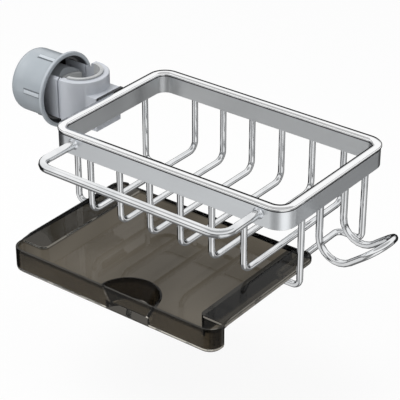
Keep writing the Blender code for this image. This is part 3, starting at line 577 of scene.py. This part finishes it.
SMOKE = (0.070, 0.060, 0.045)
SMOKE_PALE = (0.135, 0.118, 0.092)
SMOKE_FRONT = (0.300, 0.268, 0.215)
SMOKE_WELL_SHADE = (0.0060, 0.0052, 0.0040)
SMOKE_EDGE_AND_WING_SHADE = (0.018, 0.016, 0.012)
SMOKE_GLOSS = (0.2, 0.2, 0.2, 1.0)
SMOKE_ROUGHNESS = 0.015
SMOKE_ZONE_SOFT = 0.0002
WING_ZONE_HEIGHT = 0.0042
FRONT_ZONE_DEPTH = 0.0030
WELL_ASIDE = 0.0166
WELL_HALF = 0.0179
WELL_SHADE_HEIGHT = 0.0080
WELL_SOFT = 0.0004
UPRIGHT_RISE = (0.3, 0.6)
SWIRL_SCALE = 14.0
SWIRL_STRETCH = (1.0, 0.5, 1.0)
SWIRL_RISE = (0.3, 0.7)
SWIRL_RELIEF = 0.00003
FINE_SCALE = 500.0
FINE_ROUGHNESS = 0.03
GRAZING_RISE = (0.55, 1.0)
GRAZING_SHADE = 0.6
WING_SHADE = 0.8
TRAY_CRISP_OVER = 40
TRAY_EASE = 0.0004

tray_low, tray_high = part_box("drip_tray")
wing_zone = tray_high.z - WING_ZONE_HEIGHT
front_zone = tray_low.y + FRONT_ZONE_DEPTH
well_middle = (tray_low.x + tray_high.x) / 2 + WELL_ASIDE
well_shade_top = tray_low.z + WELL_SHADE_HEIGHT

smoke = Finish("smoked_tray", IOR=1.30, Specular_Tint=SMOKE_GLOSS, Transmission_Weight=1.0)
swirl = smoke.grain(SWIRL_SCALE, SWIRL_STRETCH)
fine = smoke.grain(FINE_SCALE, detail=3.0)
grazing = smoke.add("LayerWeight", {}, {"Blend": 0.5}, "Facing").rise(*GRAZING_RISE)
in_wings = smoke.axis("Z").above(wing_zone, SMOKE_ZONE_SOFT)
upright = 1 - abs(smoke.axis("Z", "Normal")).rise(*UPRIGHT_RISE)
front_wall = upright * (1 - smoke.axis("Y").above(front_zone, SMOKE_ZONE_SOFT))
# The front wall under the thumb well is painted near-black, as shade.
beside_well = abs(smoke.axis("X") - well_middle).rise(WELL_HALF, WELL_HALF + WELL_SOFT)
above_well_shade = smoke.axis("Z").rise(well_shade_top, well_shade_top + WELL_SOFT)
floor_colour = smoke.blend(swirl.rise(*SWIRL_RISE), SMOKE, SMOKE_PALE)
front_colour = smoke.blend(beside_well | above_well_shade, SMOKE_WELL_SHADE, SMOKE_FRONT)
smoke_colour = smoke.blend(front_wall, floor_colour, front_colour)
# The wings are painted darker, as shade. The tray also darkens where it is seen at a grazing angle.
grazing_and_wing_shade = (grazing * GRAZING_SHADE) | (in_wings * WING_SHADE)
smoke.set("Base Color", smoke.blend(grazing_and_wing_shade, smoke_colour, SMOKE_EDGE_AND_WING_SHADE))
smoke.set("Roughness", SMOKE_ROUGHNESS + fine * FINE_ROUGHNESS)
smoke.bump(swirl * SWIRL_RELIEF)
dress(smoke, "drip_tray", sharp=TRAY_CRISP_OVER, ease=TRAY_EASE)

# Mirrored rays pass the dark tray by, so that it doesn't show in the polished wires.
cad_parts["drip_tray"].visible_glossy = False

# The studio has a pale paper floor that runs out of sight, and a white tent of light. Polished
# metal shows the tent's grey seams, its dark back wall and the paler side by the window.
# The floor is clear from below, so that the object's underside can be looked at.

FLOOR_DROP = 0.09
FLOOR_REACH = 6.0
FLOOR_CORNERS = ((-1, -1), (1, -1), (1, 1), (-1, 1))
PAPER_SHADE = (0.90, 0.90, 0.90)
PAPER_WHITE = (0.93, 0.93, 0.93)
PAPER_SCALE = 30.0
PAPER_PLAIN_SHARE = 0.9


def seen_plainly(finish):
    """1 for rays that see the plain white background: the camera's, and those through clear plastic."""
    by_camera = finish.add("LightPath", output="Is Camera Ray")
    return by_camera | finish.add("LightPath", output="Is Transmission Ray")


floor_height = cad_box[0][2] - FLOOR_DROP
floor_shape = bmesh.new()
for x, y in FLOOR_CORNERS:
    floor_shape.verts.new((x * FLOOR_REACH, y * FLOOR_REACH, floor_height))
floor_shape.faces.new(floor_shape.verts)
floor_mesh = bpy.data.meshes.new("floor")
floor_shape.to_mesh(floor_mesh)
floor_shape.free()
floor = bpy.data.objects.new("floor", floor_mesh)
bpy.context.scene.collection.objects.link(floor)
floor.visible_glossy = False

paper = Finish("floor_paper", Roughness=0.9)
paper.set("Base Color", paper.blend(paper.grain(PAPER_SCALE, detail=3.0), PAPER_SHADE, PAPER_WHITE))
lit_only = Value(paper, paper.shader.outputs[0])
white = paper.add("Emission")
plain_share = seen_plainly(paper) * PAPER_PLAIN_SHARE
lit_paper = paper.add("MixShader", {}, {0: plain_share, 1: lit_only, 2: white})
from_below = paper.add("NewGeometry", output="Backfacing")
clear = paper.add("BsdfTransparent")
paper.show(paper.add("MixShader", {}, {0: from_below, 1: lit_paper, 2: clear}))
floor_mesh.materials.append(paper.owner)

# TENT_BACK and TENT_SIDE point to the tent's back wall and to its right-hand side. Each pair
# is where a smooth step begins and ends, and each band is its two levels and their softness,
# in the part of a ray's direction that points up, back or to the side. Lights and drops are
# strengths, and shades are shares of them that are taken off.
TENT_BACK = (-0.608, 0.794, 0.0)
TENT_SIDE = (0.794, 0.608, 0.0)
BACK_RISE = (0.14, 0.34)
BACK_LEFT_RISE = (-0.12, 0.10)
BACK_RIGHT_RISE = (0.55, 0.75)
BACK_TOP = (0.0, 0.1)
BACK_FOOT = (-0.75, -0.6)
BACK_SHADE = 0.97
SEAM_BAND = (-0.10, 0.12, 0.04)
SEAM_SHADE = 0.85
WINDOW_BAND = (0.02, 0.72, 0.12)
WINDOW_BACK = (-0.35, 0.0)
WINDOW_LIGHT = 0.66
LEFT_RISE = (-0.74, -0.60)
LEFT_BACK = (-0.15, 0.0)
LEFT_LIGHT = 0.43
RIGHT_RISE = (0.74, 0.80)
RIGHT_BACK = (0.0, 0.12)
RIGHT_LIGHT = 0.42
GROUND_RISE = (-0.75, -0.62)
GROUND_DROP = 0.18
LOWER_LIGHT = 0.34
UPPER_LIGHT = 0.55
ROOF_RISE = (0.22, 0.30)
ROOF_LIGHT = 0.45
RIDGE_RISE = (0.78, 0.82)
RIDGE_DROP = 0.5
HORIZON_SOFT = 0.02
ROOM_LIGHT = 0.45

tent = Finish("light_tent", "worlds")
aim = tent.add("TexCoord", output="Generated")
upward = tent.add("SeparateXYZ", {}, {0: aim}, "Z")
backward = tent.add("VectorMath", {"operation": "DOT_PRODUCT"}, {0: aim, 1: TENT_BACK}, "Value")
sideways = tent.add("VectorMath", {"operation": "DOT_PRODUCT"}, {0: aim, 1: TENT_SIDE}, "Value")
back_on_left = backward.rise(*BACK_LEFT_RISE) * (1 - sideways.rise(*BACK_RIGHT_RISE))
on_back = backward.rise(*BACK_RISE) | back_on_left
back_wall = on_back * (1 - upward.rise(*BACK_TOP)) * upward.rise(*BACK_FOOT)
window = sideways.band(*WINDOW_BAND) * (1 - backward.rise(*WINDOW_BACK))
left_wall = (1 - sideways.rise(*LEFT_RISE)) * (1 - backward.rise(*LEFT_BACK))
right_wall = sideways.rise(*RIGHT_RISE) * backward.rise(*RIGHT_BACK)
walls = LOWER_LIGHT + window * WINDOW_LIGHT + left_wall * LEFT_LIGHT + right_wall * RIGHT_LIGHT
lower = walls - (1 - upward.rise(*GROUND_RISE)) * GROUND_DROP
upper = UPPER_LIGHT + upward.rise(*ROOF_RISE) * ROOF_LIGHT - upward.rise(*RIDGE_RISE) * RIDGE_DROP
over_horizon = upward.above(0.0, HORIZON_SOFT)
tent_level = lower * (1 - over_horizon) + upper * over_horizon
mirrored = tent_level * (1 - upward.band(*SEAM_BAND) * SEAM_SHADE) * (1 - back_wall * BACK_SHADE)
plainly = seen_plainly(tent)
glossy = tent.add("LightPath", output="Is Glossy Ray") * (1 - plainly)
strength = plainly + glossy * mirrored + (1 - plainly - glossy) * ROOM_LIGHT
tent.show(tent.add("Background", {}, {"Color": (1.0, 1.0, 1.0), "Strength": strength}))
bpy.context.scene.world = tent.owner

# Two soft boxes light the object, a large key over the front left and a weaker fill over the
# back right. Polished metal doesn't mirror them, because the tent stands for them there.

LAMP_TARGET = (0.1, 0.0, -0.03)
KEY_PLACE = (-0.35, -0.45, 1.0)
KEY_SIZE = (0.8, 0.8)
KEY_WATTS = 11.0
FILL_PLACE = (0.9, 0.3, 0.7)
FILL_SIZE = (0.9, 0.6)
FILL_WATTS = 3.0


def soft_box(name, place, size, watts):
    """A rectangular lamp that faces the object and isn't mirrored."""
    lamp = bpy.data.lights.new(name, "AREA")
    lamp.shape = "RECTANGLE"
    lamp.size, lamp.size_y = size
    lamp.energy = watts
    shown = bpy.data.objects.new(name, lamp)
    shown.visible_glossy = False
    bpy.context.scene.collection.objects.link(shown)
    turn = (Vector(LAMP_TARGET) - Vector(place)).to_track_quat("-Z", "Y")
    shown.matrix_world = Matrix.Translation(place) @ turn.to_matrix().to_4x4()


soft_box("key", KEY_PLACE, KEY_SIZE, KEY_WATTS)
soft_box("fill", FILL_PLACE, FILL_SIZE, FILL_WATTS)

# The camera stands where the photograph was taken from: in front and to the right,
# looking down by about thirty degrees through a long lens.

CAMERA_PLACE = Vector((0.71792, -0.79474, 0.50596))
YAW = math.radians(37.431)
PITCH = math.radians(29.556)
LENS_LENGTH = 144.35
SENSOR_WIDTH = 36.0
NEAREST = 0.01

lens = bpy.data.cameras.new("photo_view")
lens.lens = LENS_LENGTH
lens.sensor_width = SENSOR_WIDTH
lens.clip_start = NEAREST
camera = bpy.data.objects.new("photo_view", lens)
bpy.context.scene.collection.objects.link(camera)
right = Vector((math.cos(YAW), math.sin(YAW), 0))
ahead = Vector((-math.cos(PITCH) * math.sin(YAW), math.cos(PITCH) * math.cos(YAW), -math.sin(PITCH)))
up = right.cross(ahead)
camera_turn = Matrix((right, up, -ahead)).transposed().to_4x4()
camera.matrix_world = Matrix.Translation(CAMERA_PLACE) @ camera_turn
bpy.context.scene.camera = camera
bpy.context.scene.view_settings.view_transform = "Standard"
